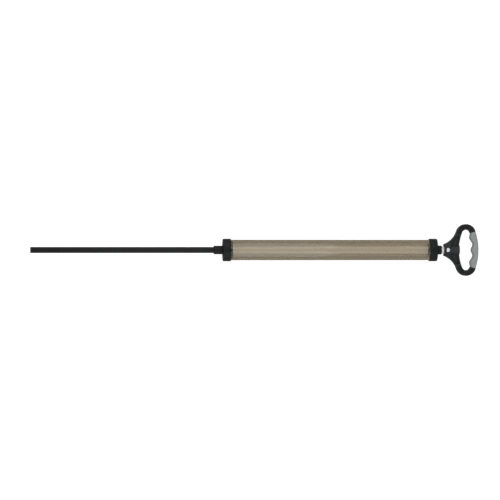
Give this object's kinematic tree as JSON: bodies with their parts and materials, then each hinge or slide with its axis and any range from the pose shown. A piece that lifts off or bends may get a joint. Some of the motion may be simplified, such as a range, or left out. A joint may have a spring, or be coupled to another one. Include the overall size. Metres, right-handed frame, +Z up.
{
  "type": "hand fuel sampler syringe",
  "caption": "Hand fuel sampler: rigid suction tube, smoked clear barrel and a piston rod with a soft-grip D-handle that is pulled to draw a sample.",
  "frame": {"origin": "bottom centre of the whole sampler's box as it lies on its two caps, D-handle flat and piston home", "axes": "+X along the barrel's axis from the suction tip to the D-handle, +Z up, +Y across the D-handle"},
  "size_m": [0.977, 0.113, 0.0485],
  "materials": {
    "black_tube": "smooth black extruded rigid suction tube, satin",
    "black_moulded": "black glass-filled nylon mouldings with a fine spark texture",
    "smoked_clear": "smoked amber-grey clear extruded tube, polished",
    "natural_acetal": "natural tan turned acetal",
    "bearing_plastic": "off-white bearing plastic",
    "nitrile": "black nitrile rubber",
    "packing": "dark graphited packing ring",
    "rod_metal": "drawn aluminium tube with a satin skin",
    "stainless": "turned stainless steel",
    "grip_rubber": "soft grey overmoulded elastomer"
  },
  "bodies": {
    "barrel": {"suction_tube": "black_tube", "tube_nut": "black_moulded", "tube_ferrule": "natural_acetal", "tube_seal": "nitrile", "bottom_cap": "black_moulded", "bottom_head": "black_moulded", "bottom_gasket": "nitrile", "barrel_tube": "smoked_clear", "top_gasket": "nitrile", "rod_guide": "black_moulded", "guide_o_ring": "nitrile", "guide_bush": "bearing_plastic", "rod_packing": "packing", "top_bumper": "nitrile", "top_cap": "black_moulded", "gland_nut": "black_moulded"},
    "piston": {"piston_body": "black_moulded", "piston_seal_front": "nitrile", "piston_wear_band": "bearing_plastic", "piston_seal_rear": "nitrile"},
    "rod": {"piston_rod": "rod_metal", "rod_end_plug": "stainless", "front_washer": "stainless", "lock_nut": "stainless", "rear_washer": "stainless", "handle_body": "black_moulded", "grip_pad": "grip_rubber", "handle_bolt_sleeve": "stainless", "handle_bolt_screw": "stainless"}
  },
  "joints": [
    {"name": "plunger_slide", "type": "slide", "parent": "barrel", "child": "piston", "axis": [1, 0, 0], "range_m": [0, 0.426]},
    {"name": "rod_swivel", "type": "hinge", "parent": "piston", "child": "rod", "pos_m": [-0.0495, 0, 0.02425], "axis": [1, 0, 0], "continuous": true}
  ]
}
